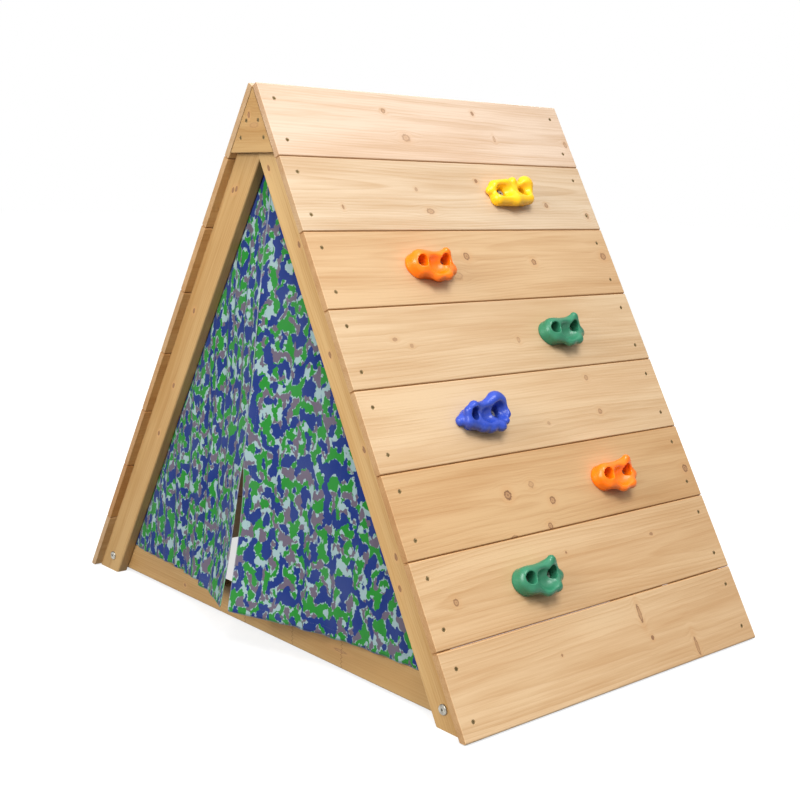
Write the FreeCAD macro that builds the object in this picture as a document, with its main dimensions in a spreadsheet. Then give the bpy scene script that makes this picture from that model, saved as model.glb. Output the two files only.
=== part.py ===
import FreeCAD, Part
import math
import os

import Sketcher
from FreeCAD import Rotation, Vector

# A child's A-frame climbing den. Two planked walls lean together at a ridge along Y and stand on
# two leaning posts at each end. The +X wall carries six climbing holds, the -X wall is plain, and
# two fabric curtains hang in each of the triangular ends. Millimetres, +Z up, floor at z = 0. The
# curtains are drawn standing a little open, each turned outwards about its own post.
#
# Each wall has its own frame: x runs down the slope from the ridge, y along the ridge, and z out
# of the wall's inner face. The -X wall's frame is the +X wall's turned half round about Z.

SIZES = [
    ("slope_angle", 61.0, "lean of both walls above the floor, degrees"),
    ("apex_height", 1010.2, "floor to the line where the inner faces meet"),
    ("board_length", 792.0, "length of a wall board along the ridge"),
    ("board_pitch", 145.0, "from one board's top edge to the next one's"),
    ("board_gap", 0.5, "joint between two boards"),
    ("board_thick", 13.0, "wall board thickness"),
    ("board_lift", 2.5, "floor to the level cut of the lowest boards"),
    ("edge_round", 3.0, "eased long edges of the wall boards"),
    ("end_round", 1.0, "eased edges of the boards' ends"),
    ("overhang", 17.0, "board ends beyond the posts' outer faces"),
    ("post_width", 62.0, "post size square to the wall"),
    ("post_depth", 24.0, "post size along the ridge"),
    ("post_round", 4.0, "eased edges of posts and rails"),
    ("rail_lift", 6.0, "floor to the rail"),
    ("rail_height", 60.0, "bottom rail height"),
    ("rail_thick", 25.0, "bottom rail thickness"),
    ("rail_clear", 1.0, "rail end to the wall's inner face, along X"),
    ("gusset_drop", 116.0, "inner apex to the gusset's lower edge"),
    ("gusset_thick", 16.0, "gusset thickness"),
    ("gusset_round", 1.5, "eased lower edges of the gusset"),
    ("gusset_gap", 1.2, "gusset to the walls' inner faces"),
    ("gusset_inset", 14.0, "gusset screws, in from the wall's inner face"),
    ("gusset_first", 61.0, "upper gusset screws, down the slope"),
    ("gusset_second", 95.0, "lower gusset screws, down the slope"),
    ("screw_edge", 31.0, "wall screws, in from a board's long edges"),
    ("screw_sink", 0.4, "countersunk heads below the surface"),
    ("screw_head", 7.0, "wood screw head diameter"),
    ("screw_shank", 4.0, "wood screw shank diameter"),
    ("screw_tip", 4.0, "length of a wood screw's point"),
    ("screw_hole", 4.3, "hole for a wood screw"),
    ("screw_cutter", 8.2, "countersink diameter"),
    ("wall_screw_length", 25.0, "wall screw length, short of the mitre at the ridge"),
    ("gusset_screw_length", 30.0, "gusset screw length"),
    ("pilot_spare", 1.0, "pilot hole beyond a screw's point"),
    ("cross_width", 3.8, "width over a screw's cross recess"),
    ("cross_slot", 0.9, "one arm of the cross recess"),
    ("cross_depth", 1.6, "depth of the cross recess"),
    ("bolt_height", 34.0, "floor to the frame bolts"),
    ("bolt_shank", 8.0, "frame and hold bolt diameter"),
    ("bolt_hole", 8.4, "hole for a bolt"),
    ("frame_head", 18.0, "frame bolt head diameter"),
    ("frame_head_thick", 3.6, "frame bolt head thickness"),
    ("frame_head_round", 2.4, "dome edge of the frame bolt head"),
    ("frame_bolt_length", 40.0, "frame bolt under its head"),
    ("hex_size", 5.0, "hexagon socket across its flats"),
    ("hex_depth", 2.6, "depth of the hexagon sockets"),
    ("sleeve_barrel", 10.0, "sleeve nut and tee nut barrel diameter"),
    ("sleeve_hole", 10.3, "hole for a nut's barrel"),
    ("sleeve_head", 17.0, "sleeve nut head diameter"),
    ("sleeve_head_thick", 2.0, "sleeve nut head thickness"),
    ("sleeve_length", 16.0, "sleeve nut barrel length"),
    ("hold_across", 142.0, "holds' two columns, each side of the middle"),
    ("hold_spread", 28.0, "hold centre to each of its bolts"),
    ("hold_round", 28.0, "radius of a hold's ends"),
    ("hold_proud", 36.0, "height of a hold off the wall"),
    ("hold_lip_round", 21.0, "radius of a hold's lower lip"),
    ("hold_lip_down", 16.0, "lip centre, down the slope from the bolts"),
    ("hold_lip_across", 6.0, "lip centre, across from the hold's middle"),
    ("hold_lip_proud", 26.0, "height of the lip off the wall"),
    ("hold_ease", 8.0, "rounding of a hold's rim"),
    ("socket_size", 23.0, "bolt socket diameter in a hold"),
    ("socket_floor", 5.0, "plastic left under a bolt head"),
    ("washer_size", 20.0, "hold washer diameter"),
    ("washer_thick", 1.6, "hold washer thickness"),
    ("hold_bolt_head", 13.0, "hold bolt head diameter"),
    ("hold_head_thick", 5.0, "hold bolt head thickness"),
    ("hold_bolt_length", 21.0, "hold bolt under its head"),
    ("tee_flange", 24.0, "tee nut flange diameter"),
    ("tee_flange_thick", 1.5, "tee nut flange thickness"),
    ("tee_length", 10.0, "tee nut barrel length"),
    ("curtain_thick", 2.0, "curtain thickness"),
    ("curtain_clear", 3.0, "curtain to post, and curtain to rail plane"),
    ("curtain_ajar", 12.0, "curtains stand open outwards, degrees"),
    ("seam_gap", 3.0, "between two closed curtains"),
    ("seam_shift", 14.0, "seam of two closed curtains, from the middle towards the climbing wall"),
    ("hem_height", 68.0, "floor to the hem of a closed curtain"),
    ("margin_width", 16.0, "tacked margin of a curtain"),
    ("margin_inset", 2.0, "margin to the post's inner edge"),
    ("margin_top", 126.0, "margin's top, down the slope"),
    ("margin_thick", 1.5, "thickness of the tacked margin"),
    ("tack_first", 150.0, "first tack, down the slope"),
    ("tack_pitch", 170.0, "from one tack to the next"),
    ("tack_head", 7.0, "tack head diameter"),
    ("tack_head_thick", 1.0, "tack head thickness"),
    ("tack_shank", 1.8, "tack shank diameter"),
    ("tack_hole", 2.0, "hole for a tack"),
    ("tack_length", 12.0, "tack under its head"),
]

BOARDS = 8             # boards in each wall
TACKS = 6              # tacks along each curtain
FRONT, BACK = -1, 1    # ends of the den, along Y
HOLDS = [              # board that carries it, column, colour
    (2, 1, "yellow"),
    (3, -1, "orange"),
    (4, 1, "green"),
    (5, -1, "blue"),
    (6, 1, "orange"),
    (7, -1, "green"),
]
PLAIN, CLIMBING = -1, 1    # the -X wall and the +X wall

doc = FreeCAD.newDocument("climbing_den")
sheet = doc.addObject("Spreadsheet::Sheet", "sizes")
for line, (alias, value, meaning) in enumerate(SIZES, start=1):
    sheet.set(f"A{line}", str(value))
    sheet.setAlias(f"A{line}", alias)
    sheet.set(f"B{line}", meaning)
doc.recompute()

kept = []    # the objects that are written out, one file each

# Formulas that several sub-parts share.
SLOPE = "sizes.slope_angle"
APEX = "sizes.apex_height"
BOARD_WIDTH = "(sizes.board_pitch - sizes.board_gap)"
FIRST_EDGE = "(sizes.board_gap / 2)"
POST_MIDDLE = "(sizes.board_length / 2 - sizes.overhang - sizes.post_depth / 2)"
POST_BACK = "(sizes.board_length / 2 - sizes.overhang - sizes.post_depth)"
RAIL_TOP = "(sizes.rail_lift + sizes.rail_height)"
POST_CENTRE = "(-1 * sizes.post_width / 2)"
BOLT_DOWN = f"(({APEX} - sizes.bolt_height - sizes.post_width / 2 * cos({SLOPE})) / sin({SLOPE}))"
SCREW_REACH = "(sizes.wall_screw_length + sizes.screw_sink - sizes.board_thick + sizes.pilot_spare)"
GUSSET_REACH = "(sizes.gusset_screw_length + sizes.screw_sink - sizes.gusset_thick + sizes.pilot_spare)"
CURTAIN_APEX = f"({APEX} - (sizes.post_width + sizes.curtain_clear) / cos({SLOPE}))"
CURTAIN_MIDDLE = f"({POST_BACK} + sizes.curtain_clear)"


def number(formula):
    """Value of a formula of the sheet's cells."""
    return float(sheet.evalExpression(formula.replace("sizes.", "")))


def keep(piece, label):
    """Names a finished sub-part and lists it for export."""
    piece.Label = label
    kept.append(piece)
    return piece


def new_body(name):
    return doc.addObject("PartDesign::Body", name)


def origin(body, role):
    """One of a body's own origin planes or axes."""
    return next(item for item in body.Origin.OriginFeatures if item.Role == role)


def new_sketch(body, name, plane, lift="0"):
    """Empty sketch on an origin plane, raised along the plane's normal."""
    sketch = body.newObject("Sketcher::SketchObject", name)
    sketch.AttachmentSupport = [(origin(body, plane), "")]
    sketch.MapMode = "FlatFace"
    sketch.setExpression("AttachmentOffset.Base.z", lift)
    return sketch


def pin_down(sketch, geometry, vertex, formula_x, formula_y):
    """Fixes a point of a sketch at two formulas, measured from the origin."""
    for kind, formula in (("DistanceX", formula_x), ("DistanceY", formula_y)):
        value = number(formula)
        index = sketch.addConstraint(Sketcher.Constraint(kind, -1, 1, geometry, vertex, value))
        sketch.setExpression(f"Constraints[{index}]", formula)


def outline(body, name, plane, corners):
    """Straight-sided closed sketch through corners given as pairs of formulas."""
    sketch = new_sketch(body, name, plane)
    spots = [Vector(number(x), number(y), 0) for x, y in corners]
    count = len(spots)
    for index, spot in enumerate(spots):
        sketch.addGeometry(Part.LineSegment(spot, spots[(index + 1) % count]), False)
    for index in range(count):
        sketch.addConstraint(Sketcher.Constraint("Coincident", index, 2, (index + 1) % count, 1))
    for index, (x, y) in enumerate(corners):
        pin_down(sketch, index, 1, x, y)
    return sketch


def circles(body, name, plane, centres, diameter, lift="0"):
    """Sketch of equal circles at centres given as pairs of formulas."""
    sketch = new_sketch(body, name, plane, lift)
    radius = number(diameter) / 2
    for index, (x, y) in enumerate(centres):
        middle = Vector(number(x), number(y), 0)
        sketch.addGeometry(Part.Circle(middle, Vector(0, 0, 1), radius), False)
        size = sketch.addConstraint(Sketcher.Constraint("Diameter", index, 2 * radius))
        sketch.setExpression(f"Constraints[{size}]", diameter)
        pin_down(sketch, index, 3, x, y)
    return sketch


def pad(body, sketch, length, middle=True):
    """Extrudes a sketch, to both sides of its plane unless told otherwise."""
    feature = body.newObject("PartDesign::Pad", "pad")
    feature.Profile = sketch
    feature.Midplane = middle
    feature.setExpression("Length", length)
    sketch.Visibility = False
    return feature


def pocket(body, sketch, length=None, reverse=False):
    """Cuts a sketch into the solid, right through when no length is given."""
    feature = body.newObject("PartDesign::Pocket", "pocket")
    feature.Profile = sketch
    feature.Reversed = reverse
    if length is None:
        feature.Type = "ThroughAll"
        feature.Midplane = True
    else:
        feature.setExpression("Length", length)
    return feature


def countersinks(body, sketch):
    """Clearance holes with a countersink for flush wood screws."""
    hole = body.newObject("PartDesign::Hole", "hole")
    hole.Profile = sketch
    doc.recompute()
    hole.ThreadType = "None"
    hole.DepthType = "ThroughAll"
    hole.HoleCutType = "Countersink"
    hole.HoleCutCountersinkAngle = 90
    hole.setExpression("Diameter", "sizes.screw_hole")
    hole.setExpression("HoleCutDiameter", "sizes.screw_cutter")
    return hole


def ease(body, feature, radius, wanted):
    """Rounds the edges of a feature that a test picks out."""
    doc.recompute()
    edges = feature.Shape.Edges
    names = [f"Edge{index + 1}" for index, edge in enumerate(edges) if wanted(edge)]
    rounding = body.newObject("PartDesign::Fillet", "rounding")
    rounding.Base = (feature, names)
    rounding.setExpression("Radius", radius)
    return rounding


def turned(body, name, corners):
    """Solid of revolution about Z from half a profile of radius and height formulas."""
    profile = outline(body, name, "XZ_Plane", corners)
    feature = body.newObject("PartDesign::Revolution", "turning")
    feature.Profile = profile
    feature.ReferenceAxis = (origin(body, "Z_Axis"), [""])
    feature.Angle = 360
    return feature


def wall_place(side, down, along, out="0"):
    """Placement formula for a wall's frame at a point given down, along and out of it."""
    yaw = 0 if side == CLIMBING else 180
    x = f"{side} * (({down}) * cos({SLOPE}) + ({out}) * sin({SLOPE}))"
    z = f"{APEX} - ({down}) * sin({SLOPE}) + ({out}) * cos({SLOPE})"
    return f"placement(vector({x}; {along}; {z}); rotation({yaw}; {SLOPE}; 0))"


def upright_place(end, along):
    """Placement formula at the middle of one end; the back end is the front turned half round."""
    yaw = 0 if end == FRONT else 180
    return f"placement(vector(0; {end} * {along}; 0); rotation({yaw}; 0; 0))"


def as_placement(formula):
    """A placement formula worked out, for shapes that are copied into a group."""
    return sheet.evalExpression(formula.replace("sizes.", ""))


def group(label, master, placements):
    """One node of identical separate solids, copied from a master body."""
    copies = []
    for placement in placements:
        copy = master.Shape.copy()
        copy.Placement = placement
        copies.append(copy)
    feature = doc.addObject("Part::Feature", label)
    feature.Shape = Part.makeCompound(copies)
    return keep(feature, label)


# ---- wall boards ----

def make_board(side, index, label):
    """One board with eased edges and two countersunk holes at each end."""
    body = new_body(label)
    foot_inner = foot_outer = BOARD_WIDTH
    if index == BOARDS - 1:
        start = f"({index} * sizes.board_pitch + {FIRST_EDGE})"
        foot_inner = f"(({APEX} - sizes.board_lift) / sin({SLOPE}) - {start})"
        foot_outer = f"({foot_inner} + sizes.board_thick / tan({SLOPE}))"
    corners = [
        ("0", "0"),
        (foot_inner, "0"),
        (foot_outer, "sizes.board_thick"),
        ("0", "sizes.board_thick"),
    ]
    plank = pad(body, outline(body, "section", "XZ_Plane", corners), "sizes.board_length")
    long_edge = number("sizes.board_length / 2")
    plank = ease(body, plank, "sizes.edge_round", lambda edge: edge.Length > long_edge)
    ease(body, plank, "sizes.end_round", lambda edge: edge.Length < long_edge)
    rows = ["sizes.screw_edge", f"{BOARD_WIDTH} - sizes.screw_edge"]
    spots = [(row, f"{end} * {POST_MIDDLE}") for row in rows for end in (FRONT, BACK)]
    countersinks(body, circles(body, "screws", "XY_Plane", spots, "sizes.screw_hole", "sizes.board_thick"))
    if side == CLIMBING:
        for number_on_wall, column, _ in HOLDS:
            if number_on_wall == index + 1:
                middle = f"{BOARD_WIDTH} / 2"
                places = [(middle, f"{column} * sizes.hold_across + {way} * sizes.hold_spread")
                          for way in (-1, 1)]
                pocket(body, circles(body, "hold_holes", "XY_Plane", places, "sizes.sleeve_hole"))
    down = f"{index} * sizes.board_pitch + {FIRST_EDGE}"
    body.setExpression("Placement", wall_place(side, down, "0"))
    return keep(body, label)


for index in range(BOARDS):
    make_board(CLIMBING, index, f"climbing_board_{index + 1}")
    make_board(PLAIN, index, f"plain_board_{index + 1}")


# ---- posts ----

def make_post(side, end, label):
    """Leaning post, mitred against its partner at the ridge and cut level at the floor."""
    body = new_body(label)
    foot = f"{APEX} / sin({SLOPE})"
    inner_foot = f"({APEX} - sizes.post_width * cos({SLOPE})) / sin({SLOPE})"
    corners = [
        ("0", "0"),
        (foot, "0"),
        (inner_foot, "-1 * sizes.post_width"),
        (f"sizes.post_width * tan({SLOPE})", "-1 * sizes.post_width"),
    ]
    leg = pad(body, outline(body, "side_view", "XZ_Plane", corners), "sizes.post_depth")

    def runs_inside(edge):
        """Long edges of the post's inner face."""
        lows = [vertex.Z for vertex in edge.Vertexes]
        inner = -number("sizes.post_width")
        return edge.Length > number("sizes.board_pitch") and max(lows) < inner + 1

    leg = ease(body, leg, "sizes.post_round", runs_inside)

    # pilot holes for the wall screws, repeated from board to board
    rows = [f"{FIRST_EDGE} + sizes.screw_edge", f"{FIRST_EDGE} + {BOARD_WIDTH} - sizes.screw_edge"]
    pilots = circles(body, "wall_pilots", "XY_Plane", [(row, "0") for row in rows], "sizes.screw_hole")
    first = pocket(body, pilots, SCREW_REACH)
    doc.recompute()
    repeat = body.newObject("PartDesign::LinearPattern", "boards_down")
    repeat.Originals = [first]
    repeat.Direction = (origin(body, "X_Axis"), [""])
    repeat.setExpression("Length", f"{BOARDS - 1} * sizes.board_pitch")
    repeat.Occurrences = BOARDS
    body.Tip = repeat

    # bolt hole through to the rail
    pocket(body, circles(body, "bolt", "XZ_Plane", [(BOLT_DOWN, POST_CENTRE)], "sizes.bolt_hole"))

    # The sketch plane's normal is local -Y. In the wall frame of either side, the post's outer
    # face lies on local -Y when side and end differ, and on local +Y when they are the same.
    outer_is_minus_y = side * end < 0
    half = "sizes.post_depth / 2"
    outer_lift, inner_lift = (half, f"-1 * {half}") if outer_is_minus_y else (f"-1 * {half}", half)
    gusset_spots = [(spot, "-1 * sizes.gusset_inset")
                    for spot in ("sizes.gusset_first", "sizes.gusset_second")]
    gusset_pilots = circles(body, "gusset_pilots", "XZ_Plane", gusset_spots, "sizes.screw_hole", outer_lift)
    pocket(body, gusset_pilots, GUSSET_REACH, reverse=not outer_is_minus_y)

    tack_row = "-1 * sizes.post_width + sizes.margin_inset + sizes.margin_width / 2"
    tack_spots = [(f"sizes.tack_first + {step} * sizes.tack_pitch", tack_row) for step in range(TACKS)]
    tack_pilots = circles(body, "tack_pilots", "XZ_Plane", tack_spots, "sizes.tack_hole", inner_lift)
    pocket(body, tack_pilots, "sizes.tack_length", reverse=outer_is_minus_y)

    body.setExpression("Placement", wall_place(side, "0", f"{end} * {POST_MIDDLE}"))
    return keep(body, label)


for end, end_name in ((FRONT, "front"), (BACK, "back")):
    make_post(CLIMBING, end, f"{end_name}_post_climbing_side")
    make_post(PLAIN, end, f"{end_name}_post_plain_side")


# ---- bottom rails ----

def make_rail(end, label):
    """Rail lapped on the inside of two posts, its ends cut to the lean of the walls."""
    body = new_body(label)
    half = f"({APEX} - {{height}}) / tan({SLOPE}) - sizes.rail_clear"
    low = half.format(height="sizes.rail_lift")
    high = half.format(height=RAIL_TOP)
    corners = [
        (f"-1 * ({low})", "sizes.rail_lift"),
        (low, "sizes.rail_lift"),
        (high, RAIL_TOP),
        (f"-1 * ({high})", RAIL_TOP),
    ]
    bar = pad(body, outline(body, "face", "XZ_Plane", corners), "sizes.rail_thick")
    ease(body, bar, "sizes.post_round", lambda edge: edge.Length > number("sizes.board_length"))
    across = f"({APEX} - sizes.bolt_height) / tan({SLOPE}) - sizes.post_width / 2 / sin({SLOPE})"
    spots = [(f"{way} * ({across})", "sizes.bolt_height") for way in (-1, 1)]
    pocket(body, circles(body, "bolts", "XZ_Plane", spots, "sizes.sleeve_hole"))
    body.setExpression("Placement", upright_place(end, f"({POST_BACK} - sizes.rail_thick / 2)"))
    return keep(body, label)


make_rail(FRONT, "front_bottom_rail")
make_rail(BACK, "back_bottom_rail")


# ---- gussets ----

def make_gusset(end, label):
    """Triangular plate over the mitred post tops, between the overhanging boards."""
    body = new_body(label)
    top = f"({APEX} - sizes.gusset_gap / cos({SLOPE}))"
    low = f"{APEX} - sizes.gusset_drop"
    half = f"({top} - ({low})) / tan({SLOPE})"
    corners = [("0", top), (f"-1 * {half}", low), (half, low)]
    plate = pad(body, outline(body, "face", "XZ_Plane", corners), "sizes.gusset_thick")

    def along_bottom(edge):
        """Long edges of the plate's level lower side."""
        level = number(low)
        flat = all(abs(vertex.Z - level) < 0.01 for vertex in edge.Vertexes)
        return flat and edge.Length > number("sizes.gusset_drop")

    ease(body, plate, "sizes.gusset_round", along_bottom)
    inset = "sizes.gusset_inset"
    spots = []
    for down in ("sizes.gusset_first", "sizes.gusset_second"):
        for way in (-1, 1):
            x = f"{way} * ({down} * cos({SLOPE}) - {inset} * sin({SLOPE}))"
            z = f"{APEX} - {down} * sin({SLOPE}) - {inset} * cos({SLOPE})"
            spots.append((x, z))
    face = "sizes.gusset_thick / 2"
    countersinks(body, circles(body, "screws", "XZ_Plane", spots, "sizes.screw_hole", face))
    along = "(sizes.board_length / 2 - sizes.overhang + sizes.gusset_thick / 2)"
    body.setExpression("Placement", upright_place(end, along))
    return keep(body, label)


make_gusset(FRONT, "front_gusset")
make_gusset(BACK, "back_gusset")


# ---- climbing holds ----

def make_hold(board, column, label):
    """Two-bolt plastic hold: a rounded bean with a lower lip and a deep socket over each bolt."""
    body = new_body(label)
    spread = "sizes.hold_spread"
    bean = new_sketch(body, "bean", "XY_Plane")
    reach, radius = number(spread), number("sizes.hold_round")
    up = Vector(0, 0, 1)
    right_end = Part.ArcOfCircle(Part.Circle(Vector(0, reach, 0), up, radius), 0, math.pi)
    left_end = Part.ArcOfCircle(Part.Circle(Vector(0, -reach, 0), up, radius), math.pi, 0)
    bean.addGeometry(right_end, False)
    bean.addGeometry(Part.LineSegment(Vector(-radius, reach, 0), Vector(-radius, -reach, 0)), False)
    bean.addGeometry(left_end, False)
    bean.addGeometry(Part.LineSegment(Vector(radius, -reach, 0), Vector(radius, reach, 0)), False)
    for first, second in ((0, 1), (1, 2), (2, 3), (3, 0)):
        bean.addConstraint(Sketcher.Constraint("Tangent", first, 2, second, 1))
    size = bean.addConstraint(Sketcher.Constraint("Radius", 0, radius))
    bean.setExpression(f"Constraints[{size}]", "sizes.hold_round")
    pin_down(bean, 0, 3, "0", spread)
    pin_down(bean, 2, 3, "0", f"-1 * {spread}")
    block = pad(body, bean, "sizes.hold_proud", middle=False)
    centre = [("sizes.hold_lip_down", "sizes.hold_lip_across")]
    lip = circles(body, "lip", "XY_Plane", centre, "2 * sizes.hold_lip_round")
    block = pad(body, lip, "sizes.hold_lip_proud", middle=False)

    def rim(edge):
        """Edges of the hold's top face."""
        return all(abs(vertex.Z - number("sizes.hold_proud")) < 0.01 for vertex in edge.Vertexes)

    ease(body, block, "sizes.hold_ease", rim)
    bolts = [("0", f"{way} * {spread}") for way in (-1, 1)]
    sockets = circles(body, "sockets", "XY_Plane", bolts, "sizes.socket_size", "sizes.hold_proud")
    pocket(body, sockets, "sizes.hold_proud - sizes.socket_floor")
    pocket(body, circles(body, "bolt_holes", "XY_Plane", bolts, "sizes.bolt_hole"))
    down = f"({board - 1} * sizes.board_pitch + {FIRST_EDGE} + {BOARD_WIDTH} / 2)"
    place = wall_place(CLIMBING, down, f"{column} * sizes.hold_across", "sizes.board_thick")
    body.setExpression("Placement", place)
    return keep(body, label)


for board, column, colour in HOLDS:
    make_hold(board, column, f"{colour}_hold_board_{board}")


# ---- curtains ----

def make_curtain(side, end, label):
    """Flap that swings about a line beside its post, drawn standing ajar.

    The seam is off the middle, so the plain side's flap has a fourth, short edge along the other
    flap's swing line.
    """
    body = new_body(label)
    hinge_depth = "(sizes.post_width + sizes.curtain_clear)"
    edge = f"(sizes.seam_gap / 2 + {side} * sizes.seam_shift)"    # free edge from the middle, own side
    hem = "sizes.hem_height"
    hem_across = f"(({CURTAIN_APEX} - {hem}) / tan({SLOPE}))"
    outline_points = [(hem_across, hem), (edge, hem)]
    if side == CLIMBING:
        outline_points.append((edge, f"({CURTAIN_APEX} - {edge} * tan({SLOPE}))"))
    else:
        outline_points.append((edge, f"({CURTAIN_APEX} + {edge} * tan({SLOPE}))"))
        outline_points.append(("0", CURTAIN_APEX))
    corners = []
    for across, height in outline_points:
        fall = f"({APEX} - {height})"
        corners.append((f"{across} * cos({SLOPE}) + {fall} * sin({SLOPE})",
                        f"{across} * sin({SLOPE}) - {fall} * cos({SLOPE}) + {hinge_depth}"))
    pad(body, outline(body, "cut", "XZ_Plane", corners), "sizes.curtain_thick")
    hinge = wall_place(side, "0", f"{end} * {CURTAIN_MIDDLE}", f"-1 * {hinge_depth}")
    swing = f"rotation(vector(1; 0; 0); {end * side} * sizes.curtain_ajar)"
    body.setExpression("Placement", f"{hinge} * placement(vector(0; 0; 0); {swing})")
    return keep(body, label)


def make_margin(side, end, label):
    """The strip of a curtain that is tacked to the back of its post."""
    body = new_body(label)
    near = "(-1 * sizes.post_width + sizes.margin_inset)"
    far = f"({near} + sizes.margin_width)"
    level = f"({APEX} - sizes.hem_height + {{out}} * cos({SLOPE})) / sin({SLOPE})"
    corners = [
        ("sizes.margin_top", far),
        (level.format(out=far), far),
        (level.format(out=near), near),
        ("sizes.margin_top", near),
    ]
    pad(body, outline(body, "strip", "XZ_Plane", corners), "sizes.margin_thick")
    rows = [(f"sizes.tack_first + {step} * sizes.tack_pitch", f"({near} + {far}) / 2")
            for step in range(TACKS)]
    pocket(body, circles(body, "tacks", "XZ_Plane", rows, "sizes.tack_hole"))
    along = f"{end} * ({POST_BACK} - sizes.margin_thick / 2)"
    body.setExpression("Placement", wall_place(side, "0", along))
    return keep(body, label)


for end, end_name in ((FRONT, "front"), (BACK, "back")):
    for side, side_name in ((CLIMBING, "climbing_side"), (PLAIN, "plain_side")):
        make_curtain(side, end, f"{end_name}_curtain_{side_name}")
        make_margin(side, end, f"{end_name}_curtain_{side_name}_margin")


# ---- fasteners: one master of each kind, then a group of copies ----

def countersunk_screw(name, length):
    """Wood screw with its head's top at z = 0, pointing down, and a cross recess."""
    body = new_body(name)
    neck = "(sizes.screw_head - sizes.screw_shank) / 2"
    turned(body, "half", [
        ("0", "0"),
        ("sizes.screw_head / 2", "0"),
        ("sizes.screw_shank / 2", f"-1 * {neck}"),
        ("sizes.screw_shank / 2", f"-1 * {length} + sizes.screw_tip"),
        ("0", f"-1 * {length}"),
    ])
    long_side, short_side = "sizes.cross_width / 2", "sizes.cross_slot / 2"
    for arm, x, y in (("arm_a", long_side, short_side), ("arm_b", short_side, long_side)):
        corners = [(f"-1 * {x}", f"-1 * {y}"), (x, f"-1 * {y}"), (x, y), (f"-1 * {x}", y)]
        pocket(body, outline(body, arm, "XY_Plane", corners), "sizes.cross_depth")
    return body


def hexagon_socket(body, lift, depth):
    """Hexagonal recess in a bolt head."""
    ring = []
    for step in range(6):
        turn = f"{60 * step}"
        ring.append((f"sizes.hex_size / sqrt(3) * cos({turn})", f"sizes.hex_size / sqrt(3) * sin({turn})"))
    sketch = outline(body, "hexagon", "XY_Plane", ring)
    sketch.setExpression("AttachmentOffset.Base.z", lift)
    pocket(body, sketch, depth)


def headed_bolt(name, head, head_thick, length, socket_depth):
    """Bolt with its head standing on z = 0 and its shank pointing down."""
    body = new_body(name)
    turned(body, "half", [
        ("0", head_thick),
        (f"{head} / 2", head_thick),
        (f"{head} / 2", "0"),
        ("sizes.bolt_shank / 2", "0"),
        ("sizes.bolt_shank / 2", f"-1 * {length}"),
        ("0", f"-1 * {length}"),
    ])
    doc.recompute()
    hexagon_socket(body, head_thick, socket_depth)
    return body


def flanged_nut(name, head, head_thick, barrel, length):
    """Nut whose flange stands on z = 0 and whose barrel points down, bored for a bolt."""
    body = new_body(name)
    bore = "sizes.bolt_hole / 2"
    turned(body, "half", [
        (bore, head_thick),
        (f"{head} / 2", head_thick),
        (f"{head} / 2", "0"),
        (f"{barrel} / 2", "0"),
        (f"{barrel} / 2", f"-1 * {length}"),
        (bore, f"-1 * {length}"),
    ])
    return body


wall_screw = countersunk_screw("wall_screw", "sizes.wall_screw_length")
gusset_screw = countersunk_screw("gusset_screw", "sizes.gusset_screw_length")
frame_bolt = headed_bolt(
    "frame_bolt", "sizes.frame_head", "sizes.frame_head_thick", "sizes.frame_bolt_length", "sizes.hex_depth")
hold_bolt = headed_bolt(
    "hold_bolt", "sizes.hold_bolt_head", "sizes.hold_head_thick", "sizes.hold_bolt_length",
    "sizes.hold_head_thick / 2")
sleeve_nut = flanged_nut(
    "sleeve_nut", "sizes.sleeve_head", "sizes.sleeve_head_thick", "sizes.sleeve_barrel",
    "sizes.sleeve_length")
tee_nut = flanged_nut(
    "tee_nut", "sizes.tee_flange", "sizes.tee_flange_thick", "sizes.sleeve_barrel", "sizes.tee_length")

washer = new_body("washer")
turned(washer, "half", [
    ("sizes.bolt_hole / 2", "0"),
    ("sizes.washer_size / 2", "0"),
    ("sizes.washer_size / 2", "sizes.washer_thick"),
    ("sizes.bolt_hole / 2", "sizes.washer_thick"),
])

tack = new_body("tack")
turned(tack, "half", [
    ("0", "sizes.tack_head_thick"),
    ("sizes.tack_head / 4", "sizes.tack_head_thick"),
    ("sizes.tack_head / 2", "0"),
    ("sizes.tack_shank / 2", "0"),
    ("sizes.tack_shank / 2", "-1 * sizes.tack_length + sizes.tack_shank + sizes.margin_thick"),
    ("0", "-1 * sizes.tack_length + sizes.margin_thick"),
])
doc.recompute()

# domed edge of the frame bolt's head
ease(frame_bolt, frame_bolt.Tip, "sizes.frame_head_round", lambda edge: (
    edge.Curve.TypeId == "Part::GeomCircle"
    and abs(edge.Curve.Radius - number("sizes.frame_head") / 2) < 0.01
    and abs(edge.CenterOfMass.z - number("sizes.frame_head_thick")) < 0.01))
doc.recompute()


def facing(end, x, along, height, outwards=True):
    """Placement whose z axis points out of an end of the den, or into it."""
    way = end if outwards else -end
    tilt = Rotation(Vector(1, 0, 0), -90 * way)
    return FreeCAD.Placement(Vector(x, end * along, height), tilt)


def wall_screw_places(side):
    """A placement for each screw of one wall."""
    places = []
    out = "sizes.board_thick - sizes.screw_sink"
    for index in range(BOARDS):
        top = f"({index} * sizes.board_pitch + {FIRST_EDGE}"
        for row in (f"{top} + sizes.screw_edge)", f"{top} + {BOARD_WIDTH} - sizes.screw_edge)"):
            for end in (FRONT, BACK):
                places.append(as_placement(wall_place(side, row, f"{end} * {POST_MIDDLE}", out)))
    return places


def hold_places(out):
    """A placement for each bolt of each hold, at a height out of the wall's inner face."""
    places = []
    for board, column, _ in HOLDS:
        down = f"({board - 1} * sizes.board_pitch + {FIRST_EDGE} + {BOARD_WIDTH} / 2)"
        for way in (-1, 1):
            along = f"{column} * sizes.hold_across + {way} * sizes.hold_spread"
            places.append(as_placement(wall_place(CLIMBING, down, along, out)))
    return places


group("climbing_wall_screws", wall_screw, wall_screw_places(CLIMBING))
group("plain_wall_screws", wall_screw, wall_screw_places(PLAIN))

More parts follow.
